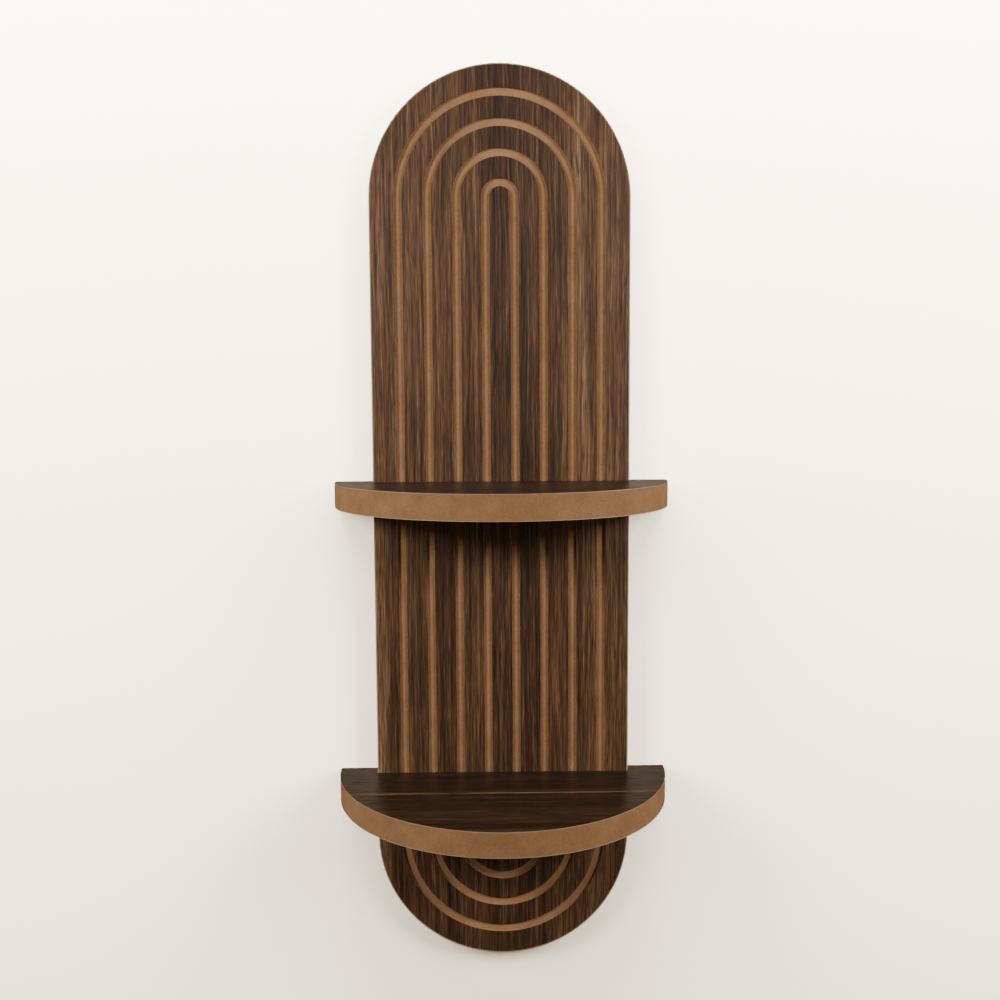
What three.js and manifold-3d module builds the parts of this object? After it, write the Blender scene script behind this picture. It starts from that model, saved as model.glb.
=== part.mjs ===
// A tall, round-ended wall board with looped grooves, carrying two half-round shelves.
// Millimetres. +Z is up, +X is to the right and the room lies towards -Y.
// The origin is the centre of the board's back face, on the plane of the wall.

import * as THREE from 'three';
import { mergeVertices } from 'three/addons/utils/BufferGeometryUtils.js';
import Module from 'manifold-3d';

// Veneered sheet: a core with a skin glued on each face.
const VENEER = 0.6;
const GLUE_LINE = 0.05;
const SKIN = VENEER + GLUE_LINE;

// Backboard
const BOARD_WIDTH = 203.2;
const BOARD_HEIGHT = 711.2;
const BOARD_THICKNESS = 12.7;
const BOARD_RADIUS = BOARD_WIDTH / 2;
const BOARD_ARC_CENTRE = (BOARD_HEIGHT - BOARD_WIDTH) / 2;

// Grooves: loops inside one another that divide the width evenly. They reach farther up and down the board than
// its own outline does, moved inwards.
const GROOVE_COUNT = 4;
const GROOVE_PITCH = BOARD_WIDTH / (2 * GROOVE_COUNT + 1);
const GROOVE_REACH = 1.3;
const GROOVE_WIDTH = 6.35;
const GROOVE_DEPTH = 2.2;

// Shelves: half discs centred on the wall plane. Heights are of the top faces.
const SHELF_RADIUS = 132.5;
const SHELF_THICKNESS = 19.05;
const SHELF_CORE_THICKNESS = SHELF_THICKNESS - 2 * SKIN;
const UPPER_SHELF_TOP = 34.8;
const LOWER_SHELF_TOP = -201.9;

// Clearance around a piece in a hole, recess or notch.
const FIT_GAP = 0.3;
const NOTCH_HALF_WIDTH = BOARD_RADIUS + FIT_GAP;
const NOTCH_DEPTH = BOARD_THICKNESS + GLUE_LINE;

// Countersunk screws. Lengths run from the flat of the head to the tip.
const SHELF_SCREW = { length: 38, headRadius: 4, headDepth: 3, shankRadius: 2, tipLength: 5, recessSpan: 4.6 };
const PLATE_SCREW = { length: 9.5, headRadius: 3, headDepth: 1.5, shankRadius: 1.4, tipLength: 2.5, recessSpan: 3.2 };
const HEAD_RIM = 0.3;
const RECESS_BLADE = 1;
const RECESS_DEPTH_PER_SPAN = 0.35;
const SHELF_SCREW_SETBACK = 0.3;
const SHELF_SCREW_X = BOARD_RADIUS - 1.5 * GROOVE_PITCH;

// Keyhole hanger plates, let into the back of the board.
const PLATE_WIDTH = 16;
const PLATE_HEIGHT = 44;
const PLATE_THICKNESS = 1.6;
const PLATE_CORNER = 3;
const PLATE_SETBACK = 0.2;
const PLATE_X = SHELF_SCREW_X;
const PLATE_Z = BOARD_HEIGHT / 2 - 125;
const PLATE_SCREW_OFFSET = 17.5;
const KEYHOLE_ENTRY_RADIUS = 5;
const KEYHOLE_SLOT_RADIUS = 2.5;
const KEYHOLE_HALF_TRAVEL = 8;
const POCKET_RADIUS = 6;
const POCKET_FLOOR = 8;

// Facets: the farthest that a chord lies inside its arc, and the fewest pairs of chords in an arc.
const CHORD_ERROR = 0.05;
const MIN_CHORD_PAIRS = 3;
const HOLE_CHORDS = 20;
const OVERCUT = 1;

const VENEER_FINISH = { color: 0x594438, roughness: 0.55, metalness: 0 };
const MDF_FINISH = { color: 0x9a714e, roughness: 0.85, metalness: 0 };
const STEEL_FINISH = { color: 0xb4b7ba, roughness: 0.35, metalness: 1 };

const wasm = await Module();
wasm.setup();

// ---- Solids ----

function isFlatTriangle([a, b, c]) {
  return a === b || b === c || c === a;
}

function toSolid(geometry) {
  const bare = geometry.clone();
  bare.deleteAttribute('normal');
  bare.deleteAttribute('uv');
  const welded = mergeVertices(bare);
  const corners = Array.from(welded.index.array);
  const triangles = [];
  for (let i = 0; i < corners.length; i += 3) {
    const triangle = corners.slice(i, i + 3);
    if (!isFlatTriangle(triangle)) triangles.push(...triangle);
  }
  return new wasm.Manifold(new wasm.Mesh({
    numProp: 3,
    vertProperties: new Float32Array(welded.attributes.position.array),
    triVerts: new Uint32Array(triangles),
  }));
}

function toGeometry(solid) {
  const { vertProperties, triVerts } = solid.getMesh();
  const indexed = new THREE.BufferGeometry();
  indexed.setAttribute('position', new THREE.BufferAttribute(vertProperties, 3));
  indexed.setIndex(new THREE.BufferAttribute(triVerts, 1));
  const geometry = indexed.toNonIndexed();
  geometry.computeVertexNormals();
  return geometry;
}

function cut(geometry, cutters) {
  const solids = cutters.map(toSolid);
  return toGeometry(solids.reduce((body, cutter) => body.subtract(cutter), toSolid(geometry)));
}

function extrude(outline, holes, depth) {
  const shape = new THREE.Shape(outline);
  shape.holes = holes.map((points) => new THREE.Path(points));
  return new THREE.ExtrudeGeometry(shape, { depth, bevelEnabled: false });
}

// ---- Outlines ----

// An even number of chords, so that a point lies at the middle of the arc.
function arcPoints(x, y, radius, startAngle, endAngle) {
  const pairAngle = 4 * Math.acos(1 - CHORD_ERROR / radius);
  const pairs = Math.max(MIN_CHORD_PAIRS, Math.ceil((endAngle - startAngle) / pairAngle));
  return new THREE.EllipseCurve(x, y, radius, radius, startAngle, endAngle).getPoints(2 * pairs);
}

// The board's outline, moved inwards all round, with its round ends moved out by the reach.
function stadium(inset, reach) {
  const radius = BOARD_RADIUS - inset;
  const arcCentre = BOARD_ARC_CENTRE + reach;
  return [
    ...arcPoints(0, arcCentre, radius, 0, Math.PI),
    ...arcPoints(0, -arcCentre, radius, Math.PI, 2 * Math.PI),
  ];
}

function boardOutline() {
  return stadium(0, 0);
}

// The two sides of a groove. Groove 1 is the outermost.
function grooveOuterEdge(groove) {
  return stadium(groove * GROOVE_PITCH - GROOVE_WIDTH / 2, GROOVE_REACH);
}

function grooveInnerEdge(groove) {
  return stadium(groove * GROOVE_PITCH + GROOVE_WIDTH / 2, GROOVE_REACH);
}

function circle(x, y, radius) {
  return new THREE.EllipseCurve(x, y, radius, radius, 0, 2 * Math.PI).getPoints(HOLE_CHORDS).slice(1);
}

function roundedPlate(grow) {
  const x = PLATE_WIDTH / 2 - PLATE_CORNER;
  const y = PLATE_HEIGHT / 2 - PLATE_CORNER;
  const corners = [[x, y], [-x, y], [-x, -y], [x, -y]];
  return corners.flatMap(([cornerX, cornerY], quarter) => {
    const start = quarter * Math.PI / 2;
    return arcPoints(cornerX, cornerY, PLATE_CORNER + grow, start, start + Math.PI / 2);
  });
}

// A round entry for a screw's head, with a slot for its shank rising from it.
function keyhole() {
  const mouth = Math.asin(KEYHOLE_SLOT_RADIUS / KEYHOLE_ENTRY_RADIUS);
  const entryStart = Math.PI / 2 + mouth;
  const entryEnd = 5 * Math.PI / 2 - mouth;
  return [
    ...arcPoints(0, -KEYHOLE_HALF_TRAVEL, KEYHOLE_ENTRY_RADIUS, entryStart, entryEnd),
    ...arcPoints(0, KEYHOLE_HALF_TRAVEL, KEYHOLE_SLOT_RADIUS, 0, Math.PI),
  ];
}

// The room behind the keyhole for the head of the wall screw.
function headPocket() {
  return [
    ...arcPoints(0, KEYHOLE_HALF_TRAVEL, POCKET_RADIUS, 0, Math.PI),
    ...arcPoints(0, -KEYHOLE_HALF_TRAVEL, POCKET_RADIUS, Math.PI, 2 * Math.PI),
  ];
}

function shelfPlan() {
  return [
    ...arcPoints(0, 0, SHELF_RADIUS, Math.PI, 2 * Math.PI),
    new THREE.Vector2(NOTCH_HALF_WIDTH, 0),
    new THREE.Vector2(NOTCH_HALF_WIDTH, -NOTCH_DEPTH),
    new THREE.Vector2(-NOTCH_HALF_WIDTH, -NOTCH_DEPTH),
    new THREE.Vector2(-NOTCH_HALF_WIDTH, 0),
  ];
}

function movedOutline(points, x, y) {
  return points.map((point) => new THREE.Vector2(point.x + x, point.y + y));
}

// ---- Fasteners: turned about +Y, with the head's flat at the origin and the tip up the axis ----

function turned(profile) {
  return new THREE.LatheGeometry(profile.map(([radius, y]) => new THREE.Vector2(radius, y)), HOLE_CHORDS);
}

function screwGeometry(screw) {
  const body = turned([
    [0, 0],
    [screw.headRadius, 0],
    [screw.headRadius, HEAD_RIM],
    [screw.shankRadius, screw.headDepth],
    [screw.shankRadius, screw.length - screw.tipLength],
    [0, screw.length],
  ]);
  const depth = screw.recessSpan * RECESS_DEPTH_PER_SPAN;
  const blades = [[screw.recessSpan, RECESS_BLADE], [RECESS_BLADE, screw.recessSpan]];
  return cut(body, blades.map(([x, z]) => {
    return new THREE.BoxGeometry(x, depth + OVERCUT, z).translate(0, (depth - OVERCUT) / 2, 0);
  }));
}

// The hole for a screw, turned to run from the wall into the board.
function screwHole(screw, x, z, setback) {
  const hole = turned([
    [0, -OVERCUT],
    [screw.headRadius + FIT_GAP, -OVERCUT],
    [screw.headRadius + FIT_GAP, HEAD_RIM],
    [screw.shankRadius + FIT_GAP, screw.headDepth],
    [screw.shankRadius + FIT_GAP, screw.length + FIT_GAP],
    [0, screw.length + FIT_GAP],
  ]);
  return hole.rotateX(Math.PI / 2).translate(x, z, setback);
}

// ---- Positions in the board's own frame: x across, y up, z away from the wall ----

const shelfScrewHeights = [UPPER_SHELF_TOP, LOWER_SHELF_TOP].map((top) => top - SHELF_THICKNESS / 2);
const shelfScrewColumns = { left: -SHELF_SCREW_X, centre: 0, right: SHELF_SCREW_X };
const shelfScrewPlaces = shelfScrewHeights.flatMap((y) => {
  return Object.values(shelfScrewColumns).map((x) => ({ x, y }));
});
const plateColumns = { left: -PLATE_X, right: PLATE_X };
const plateScrewRows = { top: PLATE_SCREW_OFFSET, bottom: -PLATE_SCREW_OFFSET };

// ---- Backboard ----

function backboardCore() {
  const front = BOARD_THICKNESS - SKIN;
  const grooveFloor = BOARD_THICKNESS - GROOVE_DEPTH;
  const cutters = [];
  for (let groove = 1; groove <= GROOVE_COUNT; groove += 1) {
    const ring = extrude(grooveOuterEdge(groove), [grooveInnerEdge(groove)], GROOVE_DEPTH);
    cutters.push(ring.translate(0, 0, grooveFloor));
  }
  for (const { x, y } of shelfScrewPlaces) {
    cutters.push(screwHole(SHELF_SCREW, x, y, SHELF_SCREW_SETBACK));
  }
  for (const x of Object.values(plateColumns)) {
    const plateBed = PLATE_SETBACK + PLATE_THICKNESS + GLUE_LINE;
    cutters.push(extrude(roundedPlate(FIT_GAP), [], plateBed).translate(x, PLATE_Z, 0));
    cutters.push(extrude(headPocket(), [], POCKET_FLOOR).translate(x, PLATE_Z, 0));
    for (const offset of Object.values(plateScrewRows)) {
      cutters.push(screwHole(PLATE_SCREW, x, PLATE_Z + offset, PLATE_SETBACK));
    }
  }
  const sheet = extrude(boardOutline(), [], front - SKIN).translate(0, 0, SKIN);
  return cut(sheet, cutters);
}

function backVeneer() {
  const screwHoles = shelfScrewPlaces.map(({ x, y }) => circle(x, y, SHELF_SCREW.headRadius + FIT_GAP));
  const plateHoles = Object.values(plateColumns).map((x) => movedOutline(roundedPlate(FIT_GAP), x, PLATE_Z));
  return extrude(boardOutline(), [...screwHoles, ...plateHoles], VENEER);
}

// The face skin between two grooves. Band 0 is at the board's edge; the last is the centre strip.
function faceVeneer(band) {
  const outline = band === 0 ? boardOutline() : grooveInnerEdge(band);
  const openings = band === GROOVE_COUNT ? [] : [grooveOuterEdge(band + 1)];
  for (const { x, y } of shelfScrewPlaces) {
    const screwBand = Math.min(GROOVE_COUNT, Math.floor((BOARD_RADIUS - Math.abs(x)) / GROOVE_PITCH));
    if (screwBand === band) openings.push(circle(x, y, SHELF_SCREW.shankRadius + FIT_GAP));
  }
  return extrude(outline, openings, VENEER);
}

// ---- Shelves: plan in x and y, thickness upwards ----

function shelfCore() {
  const tipDistance = SHELF_SCREW_SETBACK + SHELF_SCREW.length + FIT_GAP;
  const start = NOTCH_DEPTH - OVERCUT;
  const radius = SHELF_SCREW.shankRadius + FIT_GAP;
  const pilots = Object.values(shelfScrewColumns).map((x) => {
    const pilot = new THREE.CylinderGeometry(radius, radius, tipDistance - start, HOLE_CHORDS);
    return pilot.translate(x, -(start + tipDistance) / 2, SHELF_CORE_THICKNESS / 2);
  });
  return cut(extrude(shelfPlan(), [], SHELF_CORE_THICKNESS), pilots);
}

function shelfVeneer() {
  return extrude(shelfPlan(), [], VENEER);
}

function keyholePlate() {
  const screwHoles = Object.values(plateScrewRows).map((y) => screwHole(PLATE_SCREW, 0, y, 0));
  return cut(extrude(roundedPlate(0), [keyhole()], PLATE_THICKNESS), screwHoles);
}

// ---- Assembly ----

function piece(name, geometry, finish, x, y, z) {
  const mesh = new THREE.Mesh(geometry, new THREE.MeshStandardMaterial(finish));
  mesh.name = name;
  mesh.position.set(x, y, z);
  return mesh;
}

function screwPiece(name, screw, x, y, setback) {
  const mesh = piece(name, screwGeometry(screw), STEEL_FINISH, x, y, setback);
  mesh.rotation.x = Math.PI / 2;
  return mesh;
}

function backboard() {
  const board = new THREE.Group();
  board.rotation.x = Math.PI / 2;
  board.add(piece('backboard_core', backboardCore(), MDF_FINISH, 0, 0, 0));
  board.add(piece('backboard_back_veneer', backVeneer(), VENEER_FINISH, 0, 0, 0));
  const bandNames = ['edge_loop', 'second_loop', 'third_loop', 'fourth_loop', 'centre_strip'];
  bandNames.forEach((bandName, band) => {
    board.add(piece(`face_veneer_${bandName}`, faceVeneer(band), VENEER_FINISH, 0, 0, BOARD_THICKNESS - VENEER));
  });
  for (const [side, x] of Object.entries(plateColumns)) {
    const plateName = `keyhole_plate_${side}`;
    board.add(piece(plateName, keyholePlate(), STEEL_FINISH, x, PLATE_Z, PLATE_SETBACK));
    for (const [row, offset] of Object.entries(plateScrewRows)) {
      board.add(screwPiece(`${plateName}_screw_${row}`, PLATE_SCREW, x, PLATE_Z + offset, PLATE_SETBACK));
    }
  }
  return board;
}

function shelf(name, top) {
  const group = new THREE.Group();
  group.position.z = top - SHELF_THICKNESS;
  group.add(piece(`${name}_core`, shelfCore(), MDF_FINISH, 0, 0, SKIN));
  group.add(piece(`${name}_bottom_veneer`, shelfVeneer(), VENEER_FINISH, 0, 0, 0));
  group.add(piece(`${name}_top_veneer`, shelfVeneer(), VENEER_FINISH, 0, 0, SHELF_THICKNESS - VENEER));
  const screws = new THREE.Group();
  screws.rotation.x = Math.PI / 2;
  for (const [column, x] of Object.entries(shelfScrewColumns)) {
    screws.add(screwPiece(`${name}_screw_${column}`, SHELF_SCREW, x, SHELF_THICKNESS / 2, SHELF_SCREW_SETBACK));
  }
  group.add(screws);
  return group;
}

const wallShelf = new THREE.Group();
wallShelf.add(backboard());
wallShelf.add(shelf('upper_shelf', UPPER_SHELF_TOP));
wallShelf.add(shelf('lower_shelf', LOWER_SHELF_TOP));

export default wallShelf;
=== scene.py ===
"""Looks for a grooved wall board with two half-round shelves, on a pale wall in soft light.

Lengths are in metres, in the model's frame: +Z is up, +X is right, the wall is on the plane Y = 0 and the
room is towards -Y.
"""

import math

import bpy
from mathutils import Matrix, Vector


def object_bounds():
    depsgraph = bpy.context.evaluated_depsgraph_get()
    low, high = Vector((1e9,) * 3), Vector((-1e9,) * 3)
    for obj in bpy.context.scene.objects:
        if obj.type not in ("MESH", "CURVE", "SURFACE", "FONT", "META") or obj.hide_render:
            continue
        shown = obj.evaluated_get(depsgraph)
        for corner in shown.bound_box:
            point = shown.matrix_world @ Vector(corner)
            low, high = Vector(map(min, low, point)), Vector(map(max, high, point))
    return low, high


# Camera: its place from the middle of the board's back, and how it is turned, in degrees.
CAMERA_PLACE = Vector((-0.0110, -0.8221, 0.0933))
CAMERA_DOWN = 5.18
CAMERA_RIGHT = 0.70
CAMERA_ROLL = -0.33
CAMERA_LENS = 36.87
CAMERA_SENSOR = 36.0

# Stage
WALL_GAP = 0.0005
WALL_HALF_SIZE = 4.0
FLOOR_BELOW = 0.45
WALL_COLOUR = (0.93, 0.80, 0.61)
FLOOR_COLOUR = (0.90, 0.87, 0.82)
AMBIENT_COLOUR = (1.0, 0.90, 0.74)
AMBIENT_STRENGTH = 0.07

# Lights: place, width and height in metres, then the power in watts of its lamp for the object, and of its
# lamp for the wall and floor. Nought means no such lamp. Every lamp faces the middle of the object. The wall
# glow stands in for the light that a real wall gives back to the shelves. The back fill lights the back.
LIGHTS = {
    "left_window": {"place": (-0.80, -0.80, 0.39), "size": (0.30, 0.25), "power": 7.7, "wall_power": 0.0},
    "right_window": {"place": (0.80, -0.80, 0.39), "size": (0.30, 0.25), "power": 7.1, "wall_power": 0.0},
    "left_graze": {"place": (-1.50, -0.32, 0.46), "size": (0.40, 0.70), "power": 12.0, "wall_power": 0.0},
    "right_graze": {"place": (1.50, -0.32, 0.16), "size": (0.40, 0.40), "power": 11.6, "wall_power": 0.0},
    "left_wash": {"place": (-1.00, -0.70, 0.46), "size": (0.40, 0.80), "power": 0.0, "wall_power": 52.0},
    "right_wash": {"place": (1.00, -0.70, 0.46), "size": (0.40, 0.80), "power": 0.0, "wall_power": 58.0},
    "high_wash": {"place": (0.00, -0.35, 1.05), "size": (1.60, 0.20), "power": 0.0, "wall_power": 150.0},
    "sheen": {"place": (0.00, -2.00, 0.80), "size": (1.20, 0.50), "power": 1.2, "wall_power": 0.0},
    "wall_glow": {"place": (0.00, 1.60, 0.30), "size": (1.00, 0.60), "power": 1.7, "wall_power": 0.0},
    "back_fill": {"place": (0.00, 1.40, -1.30), "size": (0.80, 0.80), "power": 22.0, "wall_power": 0.0},
}

# The colour of each lamp that isn't white: the wall's glow is warm, like its paint.
LAMP_COLOURS = {"wall_glow": (1.0, 0.74, 0.55)}
WHITE = (1.0, 1.0, 1.0)

NOISE_MIDDLE = 0.5

# Paint on the wall and floor: how fine its unevenness is, its darkest and palest tone, and its roughness.
PAINT_SCALE = 3.0
PAINT_TONES = (0.97, 1.0)
PAINT_ROUGHNESS = 0.9

# Walnut stripes: the middle of a stripe, its half width and the width of its soft edge across the grain, then
# where it starts and ends along the grain, and how much paler it is than its surroundings. One darker band on
# the lower shelf is painted shade, not grain.
BOARD_STRIPES = (
    (-0.0030, 0.0070, 0.0100, -0.60, 0.60, -0.05),
    (0.0226, 0.0110, 0.0040, -0.60, 0.60, -0.11),
    (0.0625, 0.0022, 0.0030, 0.00, 0.60, 0.22),
    (-0.0190, 0.0006, 0.0010, -0.20, 0.60, 0.15),
    (-0.0970, 0.0030, 0.0030, -0.60, 0.06, 0.20),
    (-0.0430, 0.0050, 0.0060, -0.60, 0.03, -0.10),
    (0.0930, 0.0060, 0.0100, -0.60, 0.60, 0.09),
    (-0.0450, 0.0080, 0.0060, 0.03, 0.60, 0.06),
    (-0.0226, 0.0080, 0.0060, 0.03, 0.60, -0.04),
    (-0.0900, 0.0060, 0.0100, 0.03, 0.60, 0.11),
)
UPPER_SHELF_STRIPES = ()
LOWER_SHELF_STRIPES_AND_SHADE = (
    (-0.0580, 0.0008, 0.0010, -0.20, 0.20, 0.55),
    # Painted shade: a darker band along the back of the lower shelf's top, where the board shades it.
    (-0.0400, 0.0120, 0.0150, -0.20, 0.20, -0.06),
)
STRIPE_FADE = 0.05

# A pale band along a veneer's outer edge, partly the paler cut edge and partly a painted highlight where the
# eased arris catches the light: the radius of a sheet's round ends, half the straight length between their
# centres, and how far the pale band reaches in.
BOARD_RIM = {"radius": 0.1016, "straight": 0.2540, "width": 0.0011}
SHELF_RIM = {"radius": 0.1325, "straight": 0.0, "width": 0.0002}

# Walnut sheets: which axes run across and along the grain, how far along the log each was cut, and how pale.
# On the shelves that paleness is partly painted shade, kept low for the little light that reaches their tops.
SHEETS = {
    "board": {
        "name": "walnut_upright", "across": "X", "along": "Z", "shift": 3.7, "tone_and_shade": 0.50,
        "stripes": BOARD_STRIPES, "rim": BOARD_RIM,
    },
    # The shelves' low tones are partly painted shade: darker tops, the lower shelf darkest.
    "upper": {
        "name": "walnut_upper_shelf", "across": "Y", "along": "X", "shift": 11.3, "tone_and_shade": 0.25,
        "stripes": UPPER_SHELF_STRIPES, "rim": SHELF_RIM,
    },
    "lower": {
        "name": "walnut_lower_shelf", "across": "Y", "along": "X", "shift": 23.9, "tone_and_shade": 0.21,
        "stripes": LOWER_SHELF_STRIPES_AND_SHADE, "rim": SHELF_RIM,
    },
}

# Walnut grain. Scales are noise cells per metre across and along the grain. Reach is how far a line strays,
# in metres, and gain is how far a layer moves the tone.
GRAIN_WANDER = {"scales": (9.0, 4.0), "reach": 0.008}
GRAIN_RIPPLE = {"scales": (60.0, 26.0), "reach": 0.0005}
GRAIN_LAYERS = {
    "bands": {"scales": (45.0, 1.3), "detail": 2.0, "roughness": 0.5, "gain": 0.55},
    "streaks": {"scales": (380.0, 6.0), "detail": 1.0, "roughness": 0.6, "gain": 0.60},
    "lines": {"scales": (1000.0, 18.0), "detail": 2.0, "roughness": 0.75, "gain": 1.25},
    "fibres": {"scales": (3000.0, 80.0), "detail": 2.0, "roughness": 0.5, "gain": 0.70},
}
WALNUT_STOPS = (
    (0.00, (0.008, 0.004, 0.002)),
    (0.25, (0.033, 0.0145, 0.0055)),
    (0.50, (0.091, 0.041, 0.0165)),
    (0.75, (0.184, 0.091, 0.039)),
    (1.00, (0.330, 0.185, 0.092)),
)
HUE_SCALES = (130.0, 3.5)
HUE_RANGE = (0.36, 0.64)
GREEN_TINT = (0.98, 1.01, 0.97)
RED_TINT = (1.03, 0.97, 1.03)
PORE_SCALES = (1300.0, 50.0)
PORE_DETAIL = 1.0
PORE_RANGE = (0.58, 0.68)
PORE_COLOUR = (0.010, 0.005, 0.003)
PORE_COVER = 0.75
PORE_ROUGHNESS = 0.25
FIBRE_RELIEF = 0.4
VENEER_ROUGHNESS = 0.38
VENEER_BUMP = {"strength": 0.35, "distance": 0.00008}
# The pale edge band's colour: partly the paler cut edge, partly a painted highlight on the arris.
PALE_EDGE_AND_HIGHLIGHT_COLOUR = (0.400, 0.255, 0.155)

# Fibreboard. The backboard, with its routed grooves, is paler than the sawn shelves: partly painted light and
# shade, the groove floors made paler and the shelves' edges darker for how the light falls on each.
MDF_MIDDLE_TONE = 0.5
MDF_MOTTLE = {"scale": 55.0, "detail": 4.0, "roughness": 0.65}
MDF_MOTTLE_GAIN = 0.8
MDF_FELT = {"scale": 700.0, "detail": 4.0, "roughness": 0.75}
MDF_FELT_GAIN = 0.9
FLECK_SCALE = 1900.0
FLECK_DETAIL = 1.0
FLECK_RANGE = (0.62, 0.74)
FLECK_COLOUR = (0.12, 0.055, 0.025)
FLECK_COVER = 0.4
MDF_ROUGHNESS = 0.92
MDF_SPECULAR = 0.12
MDF_BUMP = {"strength": 0.35, "distance": 0.00012}
ROUTED_MDF_AND_LIGHT_STOPS = (
    (0.0, (0.245, 0.124, 0.057)),
    (0.5, (0.395, 0.209, 0.102)),
    (1.0, (0.530, 0.300, 0.160)),
)
SAWN_MDF_AND_SHADE_STOPS = (
    (0.0, (0.190, 0.093, 0.039)),
    (0.5, (0.300, 0.152, 0.065)),
    (1.0, (0.415, 0.230, 0.113)),
)

# Zinc plate
ZINC_STOPS = ((0.3, (0.50, 0.51, 0.52)), (0.7, (0.66, 0.66, 0.65)))
ZINC_CLOUD_SCALE = 220.0
ZINC_CLOUD_DETAIL = 3.0
ZINC_SCRATCH_SCALES = (9000.0, 300.0)
ZINC_ROUGHNESS = 0.2
ZINC_CLOUD_ROUGHNESS = 0.25
ZINC_BUMP = {"strength": 0.15, "distance": 0.00002}

# Arrises: how many facets round an edge, and how far each edge is eased, in metres.
EASE_SEGMENTS = 2
VENEER_EDGE = 0.00012
CORE_EDGE = 0.0003
METAL_EDGE = 0.0001
SHARP_ANGLE = math.radians(30)
FLAT_ANGLE = math.radians(0.5)
WELD_DISTANCE = 0.000002


# ---- Node graphs ----


class Graph:
    """Short calls for building one material's nodes."""

    def __init__(self, name):
        self.material = bpy.data.materials.new(name)
        self.material.use_nodes = True
        self.tree = self.material.node_tree
        self.tree.nodes.clear()
        self.output = self.add("ShaderNodeOutputMaterial")

    def add(self, kind, **settings):
        node = self.tree.nodes.new(kind)
        for key, value in settings.items():
            setattr(node, key, value)
        return node

    def feed(self, socket, value):
        """Links value to the socket if it is another node's socket, or sets it as a number or colour."""
        if isinstance(value, bpy.types.NodeSocket):
            self.tree.links.new(value, socket)
        else:
            socket.default_value = value

    def maths(self, operation, first, second=0.0, third=0.0):
        node = self.add("ShaderNodeMath", operation=operation)
        for socket, value in zip(node.inputs, (first, second, third)):
            self.feed(socket, value)
        return node.outputs[0]

    def noise(self, vector, scale=1.0, detail=2.0, roughness=0.5):
        node = self.add("ShaderNodeTexNoise", noise_dimensions="3D")
        self.feed(node.inputs["Vector"], vector)
        self.feed(node.inputs["Scale"], scale)
        self.feed(node.inputs["Detail"], detail)
        self.feed(node.inputs["Roughness"], roughness)
        return node.outputs["Fac"]

    def sway(self, value, field, gain):
        """Moves value up or down, by gain times how far the noise field is from its middle."""
        return self.maths("MULTIPLY_ADD", self.maths("SUBTRACT", field, NOISE_MIDDLE), gain, value)

    def spread(self, value, low, high, new_low=0.0, new_high=1.0):
        """Maps low..high onto new_low..new_high, and holds the ends beyond them."""
        node = self.add("ShaderNodeMapRange", clamp=True)
        for socket, number in zip(node.inputs, (value, low, high, new_low, new_high)):
            self.feed(socket, number)
        return node.outputs["Result"]

    def ramp(self, value, stops):
        node = self.add("ShaderNodeValToRGB")
        elements = node.color_ramp.elements
        while len(elements) < len(stops):
            elements.new(1.0)
        for element, (position, colour) in zip(elements, stops):
            element.position = position
            element.color = (*colour, 1.0)
        self.feed(node.inputs["Fac"], value)
        return node.outputs["Color"]

    def mix(self, amount, first, second, blend="MIX"):
        node = self.add("ShaderNodeMix", data_type="RGBA", blend_type=blend)
        self.feed(node.inputs["Factor"], amount)
        for name, value in (("A", first), ("B", second)):
            socket = next(s for s in node.inputs if s.name == name and s.type == "RGBA")
            self.feed(socket, (*value, 1.0) if isinstance(value, tuple) else value)
        return next(s for s in node.outputs if s.type == "RGBA")

    def vector(self, x, y, z):
        node = self.add("ShaderNodeCombineXYZ")
        for socket, value in zip(node.inputs, (x, y, z)):
            self.feed(socket, value)
        return node.outputs[0]

    def place(self):
        """The point's place in the model's frame, as three separate sockets by axis name."""
        coordinates = self.add("ShaderNodeTexCoord").outputs["Object"]
        parts = self.add("ShaderNodeSeparateXYZ")
        self.feed(parts.inputs[0], coordinates)
        return dict(zip("XYZ", parts.outputs))

    def bump(self, height, strength, distance):
        node = self.add("ShaderNodeBump")
        self.feed(node.inputs["Height"], height)
        self.feed(node.inputs["Strength"], strength)
        self.feed(node.inputs["Distance"], distance)
        return node.outputs["Normal"]

    def surface(self, colour, roughness, normal=None, specular=0.5, metallic=0.0):
        shader = self.add("ShaderNodeBsdfPrincipled")
        self.feed(shader.inputs["Base Color"], colour)
        self.feed(shader.inputs["Roughness"], roughness)
        if normal is not None:
            self.feed(shader.inputs["Normal"], normal)
        shader.inputs["Specular IOR Level"].default_value = specular
        shader.inputs["Metallic"].default_value = metallic
        self.feed(self.output.inputs["Surface"], shader.outputs[0])
        return self.material


# ---- Materials ----


def stripes_on(graph, line, v, stripes):
    """How much the listed stripes lighten the veneer. line runs across the grain, and v along it."""
    total = 0.0
    for centre, half_width, softness, start, end, gain in stripes:
        off = graph.maths("ABSOLUTE", graph.maths("SUBTRACT", line, centre))
        across = graph.spread(off, half_width, half_width + softness, gain, 0.0)
        rise = graph.spread(v, start, start + STRIPE_FADE)
        fall = graph.spread(v, end - STRIPE_FADE, end, 1.0, 0.0)
        along = graph.maths("MULTIPLY", rise, fall)
        total = graph.maths("MULTIPLY_ADD", across, along, total)
    return total


def pale_edge_and_highlight_mask(graph, u, v, rim):
    """Where the pale edge band goes, partly a painted highlight on the eased arris: one within the rim's
    width of a round-ended outline, and nought inside it.
    """
    beyond = graph.maths("MAXIMUM", graph.maths("SUBTRACT", graph.maths("ABSOLUTE", v), rim["straight"]), 0.0)
    squares = graph.maths("MULTIPLY_ADD", u, u, graph.maths("MULTIPLY", beyond, beyond))
    return graph.maths("GREATER_THAN", graph.maths("SQRT", squares), rim["radius"] - rim["width"])


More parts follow.
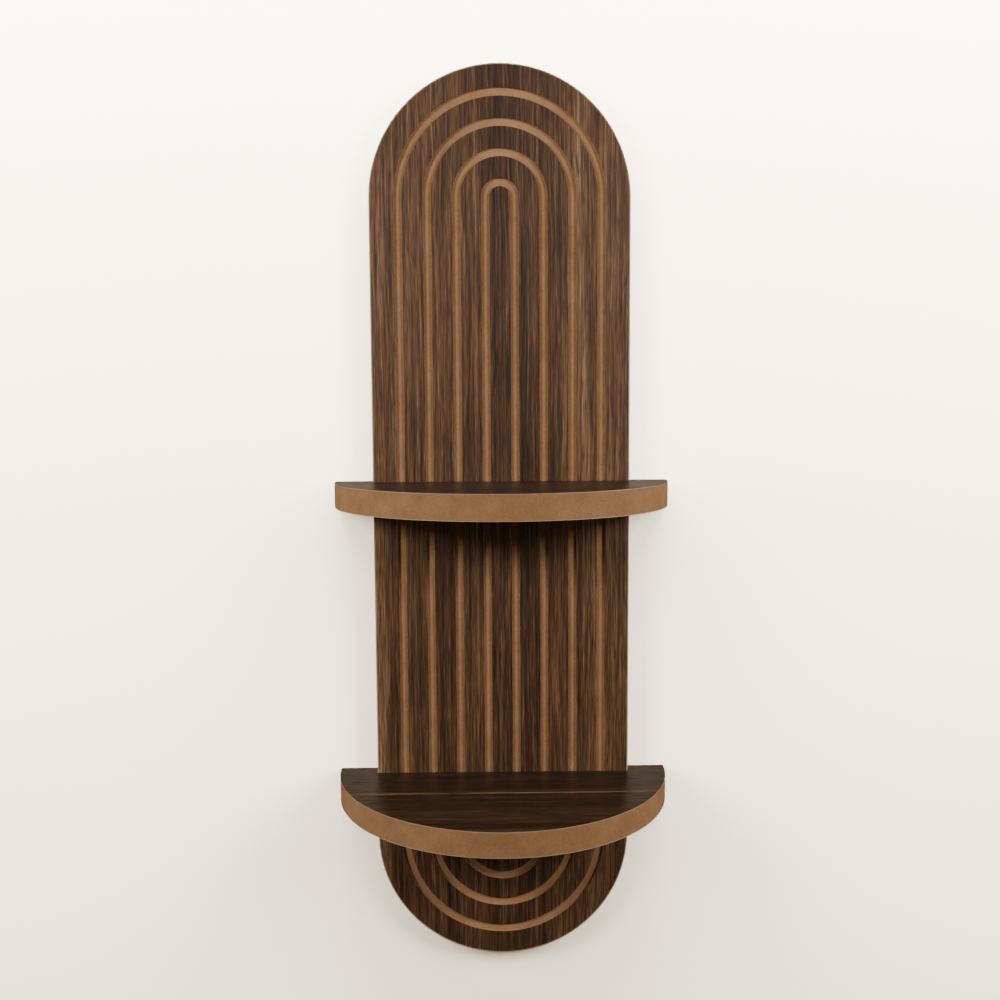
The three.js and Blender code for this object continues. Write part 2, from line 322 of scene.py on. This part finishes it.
def walnut_veneer(name, across, along, shift, tone_and_shade, stripes, rim):
    """Straight-grained walnut.

    across and along name the sheet's axes, shift picks another part of the log, and the sheet's tone sets how
    pale it is; on the shelves that tone is partly painted shade, kept low for the little light on their tops.
    """
    graph = Graph(name)
    place = graph.place()
    through = next(axis for axis in "XYZ" if axis not in (across, along))
    length = "Z" if along == "Z" else "Y"
    u = place[across]
    v = graph.maths("ADD", place[along], shift)
    w = place[through]

    def stretched(scales):
        cross_scale, long_scale = scales
        return graph.vector(
            graph.maths("MULTIPLY", line, cross_scale),
            graph.maths("MULTIPLY", v, long_scale),
            graph.maths("MULTIPLY", w, cross_scale),
        )

    across_scale, along_scale = GRAIN_WANDER["scales"]
    winding = graph.vector(
        graph.maths("MULTIPLY", u, across_scale),
        graph.maths("MULTIPLY", v, along_scale),
        shift,
    )
    line = graph.sway(u, graph.noise(winding), GRAIN_WANDER["reach"])
    line = graph.sway(line, graph.noise(stretched(GRAIN_RIPPLE["scales"])), GRAIN_RIPPLE["reach"])

    tone = graph.maths("ADD", stripes_on(graph, line, place[along], stripes), tone_and_shade)
    fields = {}
    for layer_name, layer in GRAIN_LAYERS.items():
        field = graph.noise(stretched(layer["scales"]), detail=layer["detail"], roughness=layer["roughness"])
        tone = graph.sway(tone, field, layer["gain"])
        fields[layer_name] = field
    colour = graph.ramp(tone, WALNUT_STOPS)

    hue = graph.spread(graph.noise(stretched(HUE_SCALES)), *HUE_RANGE)
    colour = graph.mix(1.0, colour, graph.mix(hue, GREEN_TINT, RED_TINT), "MULTIPLY")
    pores = graph.spread(graph.noise(stretched(PORE_SCALES), detail=PORE_DETAIL), *PORE_RANGE)
    colour = graph.mix(graph.maths("MULTIPLY", pores, PORE_COVER), colour, PORE_COLOUR)
    # Paints the pale band along the outer edge, partly a painted highlight on the eased arris.
    colour = graph.mix(pale_edge_and_highlight_mask(graph, place["X"], place[length], rim), colour, PALE_EDGE_AND_HIGHLIGHT_COLOUR)

    relief = graph.maths("SUBTRACT", graph.maths("MULTIPLY", fields["fibres"], FIBRE_RELIEF), pores)
    roughness = graph.maths("MULTIPLY_ADD", pores, PORE_ROUGHNESS, VENEER_ROUGHNESS)
    return graph.surface(colour, roughness, graph.bump(relief, **VENEER_BUMP))


def raw_mdf(name, stops):
    """Sanded medium-density fibreboard: fine felted fibres with a faint mottle."""
    graph = Graph(name)
    place = graph.place()
    point = graph.vector(place["X"], place["Y"], place["Z"])
    mottle = graph.noise(point, **MDF_MOTTLE)
    felt = graph.noise(point, **MDF_FELT)
    flecks = graph.spread(graph.noise(point, scale=FLECK_SCALE, detail=FLECK_DETAIL), *FLECK_RANGE)
    tone = graph.sway(MDF_MIDDLE_TONE, mottle, MDF_MOTTLE_GAIN)
    tone = graph.sway(tone, felt, MDF_FELT_GAIN)
    colour = graph.ramp(tone, stops)
    colour = graph.mix(graph.maths("MULTIPLY", flecks, FLECK_COVER), colour, FLECK_COLOUR)
    return graph.surface(colour, MDF_ROUGHNESS, graph.bump(felt, **MDF_BUMP), specular=MDF_SPECULAR)


def zinc_steel(name):
    """Zinc-plated steel with fine rolling scratches and cloudy passivation."""
    graph = Graph(name)
    place = graph.place()
    point = graph.vector(place["X"], place["Y"], place["Z"])
    cloud = graph.noise(point, scale=ZINC_CLOUD_SCALE, detail=ZINC_CLOUD_DETAIL)
    across_scale, along_scale = ZINC_SCRATCH_SCALES
    scratches = graph.noise(graph.vector(
        graph.maths("MULTIPLY", place["X"], across_scale),
        place["Y"],
        graph.maths("MULTIPLY", place["Z"], along_scale),
    ))
    roughness = graph.maths("MULTIPLY_ADD", cloud, ZINC_CLOUD_ROUGHNESS, ZINC_ROUGHNESS)
    colour = graph.ramp(cloud, ZINC_STOPS)
    return graph.surface(colour, roughness, graph.bump(scratches, **ZINC_BUMP), metallic=1.0)


def plain(name, colour):
    """A matt stage surface with a faint unevenness."""
    graph = Graph(name)
    coordinates = graph.add("ShaderNodeTexCoord").outputs["Object"]
    tone = graph.spread(graph.noise(coordinates, scale=PAINT_SCALE), 0.0, 1.0, *PAINT_TONES)
    return graph.surface(graph.mix(1.0, colour, graph.vector(tone, tone, tone), "MULTIPLY"), PAINT_ROUGHNESS)


def one_sided(material):
    """Leaves the back of a surface clear, so that what hangs on its face can be seen from behind."""
    tree = material.node_tree
    output = next(node for node in tree.nodes if node.type == "OUTPUT_MATERIAL")
    face = output.inputs["Surface"].links[0].from_socket
    side = tree.nodes.new("ShaderNodeNewGeometry")
    clear = tree.nodes.new("ShaderNodeBsdfTransparent")
    choice = tree.nodes.new("ShaderNodeMixShader")
    tree.links.new(side.outputs["Backfacing"], choice.inputs[0])
    tree.links.new(face, choice.inputs[1])
    tree.links.new(clear.outputs[0], choice.inputs[2])
    tree.links.new(choice.outputs[0], output.inputs["Surface"])
    return material


# ---- Stage, lights and camera ----


def sheet(name, corners, material):
    """A flat piece of the stage, with four corners."""
    mesh = bpy.data.meshes.new(name)
    mesh.from_pydata(corners, [], [(0, 1, 2, 3)])
    mesh.materials.append(material)
    obj = bpy.data.objects.new(name, mesh)
    bpy.context.scene.collection.objects.link(obj)
    return obj


def make_stage(low):
    """A wall and a floor that the camera sees, but that neither light the object nor shade it."""
    reach = WALL_HALF_SIZE
    floor_z = low.z - FLOOR_BELOW
    wall = sheet("wall", [
        (-reach, WALL_GAP, floor_z), (reach, WALL_GAP, floor_z),
        (reach, WALL_GAP, reach), (-reach, WALL_GAP, reach),
    ], one_sided(plain("wall_paint", WALL_COLOUR)))
    floor = sheet("floor", [
        (-reach, -reach, floor_z), (reach, -reach, floor_z),
        (reach, reach, floor_z), (-reach, reach, floor_z),
    ], plain("floor_paint", FLOOR_COLOUR))
    for obj in (wall, floor):
        obj.visible_diffuse = False
        obj.visible_glossy = False
        obj.visible_transmission = False
        obj.visible_shadow = False
    return wall, floor


def area_light(name, place, size, power, colour, target):
    data = bpy.data.lights.new(name, "AREA")
    data.shape = "RECTANGLE"
    data.size, data.size_y = size
    data.energy = power
    data.color = colour
    light = bpy.data.objects.new(name, data)
    light.location = place
    light.rotation_euler = (Vector(target) - Vector(place)).to_track_quat("-Z", "Y").to_euler()
    bpy.context.scene.collection.objects.link(light)
    return light


def collection_of(name, objects):
    group = bpy.data.collections.new(name)
    for obj in objects:
        group.objects.link(obj)
    return group


def make_lights(centre, stage, others):
    """Each light has a lamp for the object, or one for the wall and floor, or both in the same place."""
    stage_only = collection_of("lit_stage", stage)
    all_else = collection_of("lit_objects", others)
    for name, light in LIGHTS.items():
        for label, power, receivers in (("", "power", all_else), ("_on_wall", "wall_power", stage_only)):
            if light[power] > 0:
                colour = LAMP_COLOURS.get(name, WHITE)
                lamp = area_light(name + label, light["place"], light["size"], light[power], colour, centre)
                lamp.light_linking.receiver_collection = receivers
                lamp.visible_camera = False


def make_world():
    world = bpy.data.worlds.new("studio")
    world.use_nodes = True
    background = world.node_tree.nodes["Background"]
    background.inputs["Color"].default_value = (*AMBIENT_COLOUR, 1.0)
    background.inputs["Strength"].default_value = AMBIENT_STRENGTH
    bpy.context.scene.world = world


def make_camera():
    down, turn, roll = (math.radians(angle) for angle in (CAMERA_DOWN, CAMERA_RIGHT, CAMERA_ROLL))
    forward = Vector((math.sin(turn) * math.cos(down), math.cos(turn) * math.cos(down), -math.sin(down)))
    level = Vector((math.cos(turn), -math.sin(turn), 0.0))
    upright = level.cross(forward)
    right = level * math.cos(roll) + upright * math.sin(roll)
    up = upright * math.cos(roll) - level * math.sin(roll)
    data = bpy.data.cameras.new("camera")
    data.lens = CAMERA_LENS
    data.sensor_width = CAMERA_SENSOR
    camera = bpy.data.objects.new("camera", data)
    turned = Matrix((right, up, -forward)).transposed().to_4x4()
    camera.matrix_world = Matrix.Translation(CAMERA_PLACE) @ turned
    bpy.context.scene.collection.objects.link(camera)
    bpy.context.scene.camera = camera


# ---- The object ----


def ease_edges(obj, width):
    """Welds the facets into one skin, and rounds its sharp edges over a narrow width."""
    obj.data.attributes.remove(obj.data.attributes["custom_normal"])
    weld = obj.modifiers.new("weld", "WELD")
    weld.merge_threshold = WELD_DISTANCE
    flatten = obj.modifiers.new("flatten", "DECIMATE")
    flatten.decimate_type = "DISSOLVE"
    flatten.angle_limit = FLAT_ANGLE
    bevel = obj.modifiers.new("ease", "BEVEL")
    bevel.width = width
    bevel.segments = EASE_SEGMENTS
    bevel.limit_method = "ANGLE"
    bevel.angle_limit = SHARP_ANGLE
    bevel.harden_normals = True
    for polygon in obj.data.polygons:
        polygon.use_smooth = True


def set_material(obj, material):
    obj.data.materials.clear()
    obj.data.materials.append(material)


def dress(nodes):
    veneers = {key: walnut_veneer(**sheet_settings) for key, sheet_settings in SHEETS.items()}
    mdf = {
        # The two fibreboard colours differ partly by painted light in the grooves and painted shade on shelf
        # edges.
        "backboard": raw_mdf("routed_mdf_and_painted_light", ROUTED_MDF_AND_LIGHT_STOPS),
        "upper": raw_mdf("sawn_mdf_and_painted_shade", SAWN_MDF_AND_SHADE_STOPS),
    }
    mdf["lower"] = mdf["upper"]
    steel = zinc_steel("zinc_steel")
    for name, obj in nodes.items():
        board_or_shelf = name.split("_")[0]
        if "screw" in name or "plate" in name:
            set_material(obj, steel)
            ease_edges(obj, METAL_EDGE)
        elif "core" in name:
            set_material(obj, mdf[board_or_shelf])
            ease_edges(obj, CORE_EDGE)
        else:
            set_material(obj, veneers.get(board_or_shelf, veneers["board"]))
            ease_edges(obj, VENEER_EDGE)


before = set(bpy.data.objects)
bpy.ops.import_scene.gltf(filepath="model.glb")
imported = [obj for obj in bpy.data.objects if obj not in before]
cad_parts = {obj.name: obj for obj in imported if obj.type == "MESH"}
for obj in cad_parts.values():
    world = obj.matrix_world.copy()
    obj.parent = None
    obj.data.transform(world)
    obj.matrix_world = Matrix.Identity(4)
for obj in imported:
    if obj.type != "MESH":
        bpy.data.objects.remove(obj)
cad_low, cad_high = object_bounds()
make_camera()
make_world()
stage = make_stage(cad_low)
dress(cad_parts)
make_lights((cad_low + cad_high) / 2, stage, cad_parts.values())
